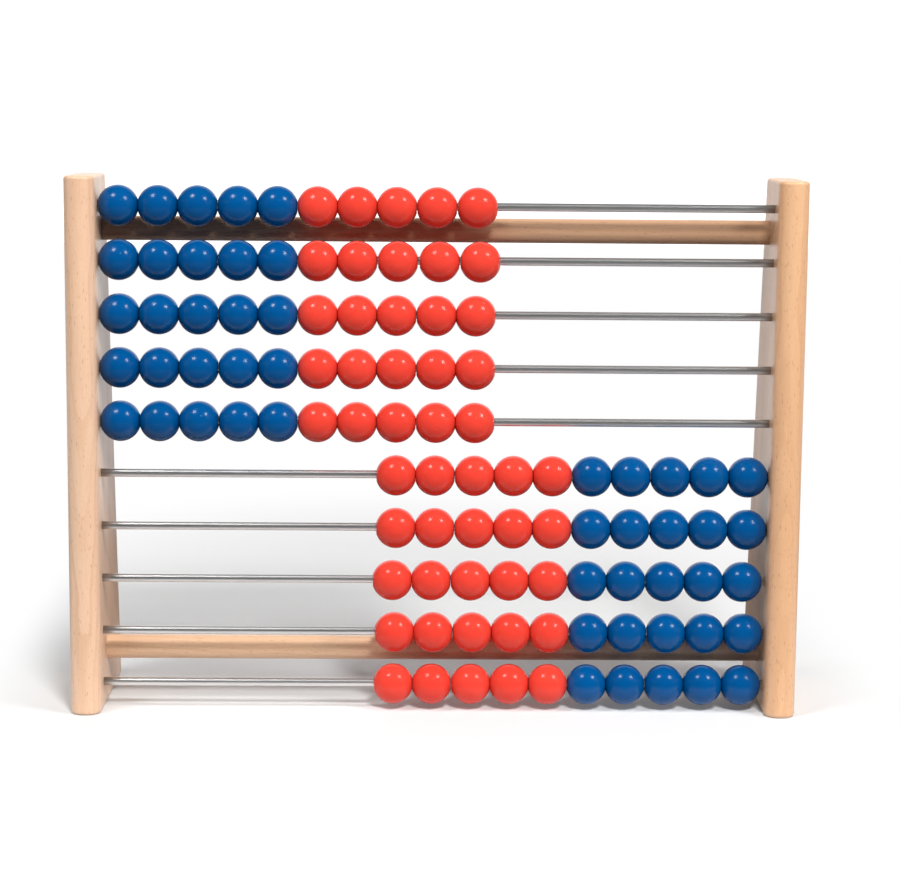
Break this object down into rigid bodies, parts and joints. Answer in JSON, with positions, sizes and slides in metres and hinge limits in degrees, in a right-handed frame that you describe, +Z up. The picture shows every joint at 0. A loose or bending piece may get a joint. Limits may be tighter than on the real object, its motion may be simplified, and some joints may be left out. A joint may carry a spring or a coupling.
{
  "type": "abacus",
  "caption": "Counting frame: glossy blue and red wooden beads on steel rods between two beech side panels with rounded edges, braced by two round beech crossbars",
  "frame": {"origin": "On the floor, under the middle of the object's bounding box", "axes": "+X along the rods, towards the right as seen from the front; +Y towards the back; +Z up"},
  "size_m": [0.358, 0.0917, 0.264],
  "materials": {
    "beech": "pale steamed beech, sanded, thin matt clear coat",
    "blue_lacquer": "turned wood under a glossy blue lacquer",
    "red_lacquer": "turned wood under a glossy orange-red lacquer",
    "rod_steel": "bright drawn steel wire",
    "screw_steel": "zinc-plated steel"
  },
  "bodies": {
    "frame": {"crossbar_screws": "screw_steel", "left_side_panel": "beech", "lower_crossbar": "beech", "right_side_panel": "beech", "rod_01": "rod_steel", "rod_02": "rod_steel", "rod_03": "rod_steel", "rod_04": "rod_steel", "rod_05": "rod_steel", "rod_06": "rod_steel", "rod_07": "rod_steel", "rod_08": "rod_steel", "rod_09": "rod_steel", "rod_10": "rod_steel", "upper_crossbar": "beech"},
    "rod_01_beads_1_to_3": {"rod_01_blue_beads_1_to_3": "blue_lacquer"},
    "rod_01_beads_4_to_5": {"rod_01_blue_beads_4_to_5": "blue_lacquer"},
    "rod_01_beads_6_to_8": {"rod_01_red_beads_6_to_8": "red_lacquer"},
    "rod_01_beads_9_to_10": {"rod_01_red_beads_9_to_10": "red_lacquer"},
    "rod_02_beads_1_to_3": {"rod_02_blue_beads_1_to_3": "blue_lacquer"},
    "rod_02_beads_4_to_5": {"rod_02_blue_beads_4_to_5": "blue_lacquer"},
    "rod_02_beads_6_to_8": {"rod_02_red_beads_6_to_8": "red_lacquer"},
    "rod_02_beads_9_to_10": {"rod_02_red_beads_9_to_10": "red_lacquer"},
    "rod_03_beads_1_to_3": {"rod_03_blue_beads_1_to_3": "blue_lacquer"},
    "rod_03_beads_4_to_5": {"rod_03_blue_beads_4_to_5": "blue_lacquer"},
    "rod_03_beads_6_to_8": {"rod_03_red_beads_6_to_8": "red_lacquer"},
    "rod_03_beads_9_to_10": {"rod_03_red_beads_9_to_10": "red_lacquer"},
    "rod_04_beads_1_to_3": {"rod_04_blue_beads_1_to_3": "blue_lacquer"},
    "rod_04_beads_4_to_5": {"rod_04_blue_beads_4_to_5": "blue_lacquer"},
    "rod_04_beads_6_to_8": {"rod_04_red_beads_6_to_8": "red_lacquer"},
    "rod_04_beads_9_to_10": {"rod_04_red_beads_9_to_10": "red_lacquer"},
    "rod_05_beads_1_to_3": {"rod_05_blue_beads_1_to_3": "blue_lacquer"},
    "rod_05_beads_4_to_5": {"rod_05_blue_beads_4_to_5": "blue_lacquer"},
    "rod_05_beads_6_to_8": {"rod_05_red_beads_6_to_8": "red_lacquer"},
    "rod_05_beads_9_to_10": {"rod_05_red_beads_9_to_10": "red_lacquer"},
    "rod_06_beads_1_to_3": {"rod_06_blue_beads_1_to_3": "blue_lacquer"},
    "rod_06_beads_4_to_5": {"rod_06_blue_beads_4_to_5": "blue_lacquer"},
    "rod_06_beads_6_to_8": {"rod_06_red_beads_6_to_8": "red_lacquer"},
    "rod_06_beads_9_to_10": {"rod_06_red_beads_9_to_10": "red_lacquer"},
    "rod_07_beads_1_to_3": {"rod_07_blue_beads_1_to_3": "blue_lacquer"},
    "rod_07_beads_4_to_5": {"rod_07_blue_beads_4_to_5": "blue_lacquer"},
    "rod_07_beads_6_to_8": {"rod_07_red_beads_6_to_8": "red_lacquer"},
    "rod_07_beads_9_to_10": {"rod_07_red_beads_9_to_10": "red_lacquer"},
    "rod_08_beads_1_to_3": {"rod_08_blue_beads_1_to_3": "blue_lacquer"},
    "rod_08_beads_4_to_5": {"rod_08_blue_beads_4_to_5": "blue_lacquer"},
    "rod_08_beads_6_to_8": {"rod_08_red_beads_6_to_8": "red_lacquer"},
    "rod_08_beads_9_to_10": {"rod_08_red_beads_9_to_10": "red_lacquer"},
    "rod_09_beads_1_to_3": {"rod_09_blue_beads_1_to_3": "blue_lacquer"},
    "rod_09_beads_4_to_5": {"rod_09_blue_beads_4_to_5": "blue_lacquer"},
    "rod_09_beads_6_to_8": {"rod_09_red_beads_6_to_8": "red_lacquer"},
    "rod_09_beads_9_to_10": {"rod_09_red_beads_9_to_10": "red_lacquer"},
    "rod_10_beads_1_to_3": {"rod_10_blue_beads_1_to_3": "blue_lacquer"},
    "rod_10_beads_4_to_5": {"rod_10_blue_beads_4_to_5": "blue_lacquer"},
    "rod_10_beads_6_to_8": {"rod_10_red_beads_6_to_8": "red_lacquer"},
    "rod_10_beads_9_to_10": {"rod_10_red_beads_9_to_10": "red_lacquer"}
  },
  "joints": [
    {"name": "rod_01_slide_1", "type": "slide", "parent": "frame", "child": "rod_01_beads_1_to_3", "axis": [1, 0, 0], "range_m": [0, 0.033]},
    {"name": "rod_01_slide_2", "type": "slide", "parent": "rod_01_beads_1_to_3", "child": "rod_01_beads_4_to_5", "axis": [1, 0, 0], "range_m": [0, 0.033]},
    {"name": "rod_01_slide_3", "type": "slide", "parent": "rod_01_beads_4_to_5", "child": "rod_01_beads_6_to_8", "axis": [1, 0, 0], "range_m": [0, 0.033]},
    {"name": "rod_01_slide_4", "type": "slide", "parent": "rod_01_beads_6_to_8", "child": "rod_01_beads_9_to_10", "axis": [1, 0, 0], "range_m": [0, 0.033]},
    {"name": "rod_02_slide_1", "type": "slide", "parent": "frame", "child": "rod_02_beads_1_to_3", "axis": [1, 0, 0], "range_m": [0, 0.033]},
    {"name": "rod_02_slide_2", "type": "slide", "parent": "rod_02_beads_1_to_3", "child": "rod_02_beads_4_to_5", "axis": [1, 0, 0], "range_m": [0, 0.033]},
    {"name": "rod_02_slide_3", "type": "slide", "parent": "rod_02_beads_4_to_5", "child": "rod_02_beads_6_to_8", "axis": [1, 0, 0], "range_m": [0, 0.033]},
    {"name": "rod_02_slide_4", "type": "slide", "parent": "rod_02_beads_6_to_8", "child": "rod_02_beads_9_to_10", "axis": [1, 0, 0], "range_m": [0, 0.033]},
    {"name": "rod_03_slide_1", "type": "slide", "parent": "frame", "child": "rod_03_beads_1_to_3", "axis": [1, 0, 0], "range_m": [0, 0.033]},
    {"name": "rod_03_slide_2", "type": "slide", "parent": "rod_03_beads_1_to_3", "child": "rod_03_beads_4_to_5", "axis": [1, 0, 0], "range_m": [0, 0.033]},
    {"name": "rod_03_slide_3", "type": "slide", "parent": "rod_03_beads_4_to_5", "child": "rod_03_beads_6_to_8", "axis": [1, 0, 0], "range_m": [0, 0.033]},
    {"name": "rod_03_slide_4", "type": "slide", "parent": "rod_03_beads_6_to_8", "child": "rod_03_beads_9_to_10", "axis": [1, 0, 0], "range_m": [0, 0.033]},
    {"name": "rod_04_slide_1", "type": "slide", "parent": "frame", "child": "rod_04_beads_1_to_3", "axis": [1, 0, 0], "range_m": [0, 0.033]},
    {"name": "rod_04_slide_2", "type": "slide", "parent": "rod_04_beads_1_to_3", "child": "rod_04_beads_4_to_5", "axis": [1, 0, 0], "range_m": [0, 0.033]},
    {"name": "rod_04_slide_3", "type": "slide", "parent": "rod_04_beads_4_to_5", "child": "rod_04_beads_6_to_8", "axis": [1, 0, 0], "range_m": [0, 0.033]},
    {"name": "rod_04_slide_4", "type": "slide", "parent": "rod_04_beads_6_to_8", "child": "rod_04_beads_9_to_10", "axis": [1, 0, 0], "range_m": [0, 0.033]},
    {"name": "rod_05_slide_1", "type": "slide", "parent": "frame", "child": "rod_05_beads_1_to_3", "axis": [1, 0, 0], "range_m": [0, 0.033]},
    {"name": "rod_05_slide_2", "type": "slide", "parent": "rod_05_beads_1_to_3", "child": "rod_05_beads_4_to_5", "axis": [1, 0, 0], "range_m": [0, 0.033]},
    {"name": "rod_05_slide_3", "type": "slide", "parent": "rod_05_beads_4_to_5", "child": "rod_05_beads_6_to_8", "axis": [1, 0, 0], "range_m": [0, 0.033]},
    {"name": "rod_05_slide_4", "type": "slide", "parent": "rod_05_beads_6_to_8", "child": "rod_05_beads_9_to_10", "axis": [1, 0, 0], "range_m": [0, 0.033]},
    {"name": "rod_06_slide_1", "type": "slide", "parent": "frame", "child": "rod_06_beads_1_to_3", "axis": [-1, 0, 0], "range_m": [0, 0.033]},
    {"name": "rod_06_slide_2", "type": "slide", "parent": "rod_06_beads_1_to_3", "child": "rod_06_beads_4_to_5", "axis": [-1, 0, 0], "range_m": [0, 0.033]},
    {"name": "rod_06_slide_3", "type": "slide", "parent": "rod_06_beads_4_to_5", "child": "rod_06_beads_6_to_8", "axis": [-1, 0, 0], "range_m": [0, 0.033]},
    {"name": "rod_06_slide_4", "type": "slide", "parent": "rod_06_beads_6_to_8", "child": "rod_06_beads_9_to_10", "axis": [-1, 0, 0], "range_m": [0, 0.033]},
    {"name": "rod_07_slide_1", "type": "slide", "parent": "frame", "child": "rod_07_beads_1_to_3", "axis": [-1, 0, 0], "range_m": [0, 0.033]},
    {"name": "rod_07_slide_2", "type": "slide", "parent": "rod_07_beads_1_to_3", "child": "rod_07_beads_4_to_5", "axis": [-1, 0, 0], "range_m": [0, 0.033]},
    {"name": "rod_07_slide_3", "type": "slide", "parent": "rod_07_beads_4_to_5", "child": "rod_07_beads_6_to_8", "axis": [-1, 0, 0], "range_m": [0, 0.033]},
    {"name": "rod_07_slide_4", "type": "slide", "parent": "rod_07_beads_6_to_8", "child": "rod_07_beads_9_to_10", "axis": [-1, 0, 0], "range_m": [0, 0.033]},
    {"name": "rod_08_slide_1", "type": "slide", "parent": "frame", "child": "rod_08_beads_1_to_3", "axis": [-1, 0, 0], "range_m": [0, 0.033]},
    {"name": "rod_08_slide_2", "type": "slide", "parent": "rod_08_beads_1_to_3", "child": "rod_08_beads_4_to_5", "axis": [-1, 0, 0], "range_m": [0, 0.033]},
    {"name": "rod_08_slide_3", "type": "slide", "parent": "rod_08_beads_4_to_5", "child": "rod_08_beads_6_to_8", "axis": [-1, 0, 0], "range_m": [0, 0.033]},
    {"name": "rod_08_slide_4", "type": "slide", "parent": "rod_08_beads_6_to_8", "child": "rod_08_beads_9_to_10", "axis": [-1, 0, 0], "range_m": [0, 0.033]},
    {"name": "rod_09_slide_1", "type": "slide", "parent": "frame", "child": "rod_09_beads_1_to_3", "axis": [-1, 0, 0], "range_m": [0, 0.033]},
    {"name": "rod_09_slide_2", "type": "slide", "parent": "rod_09_beads_1_to_3", "child": "rod_09_beads_4_to_5", "axis": [-1, 0, 0], "range_m": [0, 0.033]},
    {"name": "rod_09_slide_3", "type": "slide", "parent": "rod_09_beads_4_to_5", "child": "rod_09_beads_6_to_8", "axis": [-1, 0, 0], "range_m": [0, 0.033]},
    {"name": "rod_09_slide_4", "type": "slide", "parent": "rod_09_beads_6_to_8", "child": "rod_09_beads_9_to_10", "axis": [-1, 0, 0], "range_m": [0, 0.033]},
    {"name": "rod_10_slide_1", "type": "slide", "parent": "frame", "child": "rod_10_beads_1_to_3", "axis": [-1, 0, 0], "range_m": [0, 0.033]},
    {"name": "rod_10_slide_2", "type": "slide", "parent": "rod_10_beads_1_to_3", "child": "rod_10_beads_4_to_5", "axis": [-1, 0, 0], "range_m": [0, 0.033]},
    {"name": "rod_10_slide_3", "type": "slide", "parent": "rod_10_beads_4_to_5", "child": "rod_10_beads_6_to_8", "axis": [-1, 0, 0], "range_m": [0, 0.033]},
    {"name": "rod_10_slide_4", "type": "slide", "parent": "rod_10_beads_6_to_8", "child": "rod_10_beads_9_to_10", "axis": [-1, 0, 0], "range_m": [0, 0.033]}
  ]
}
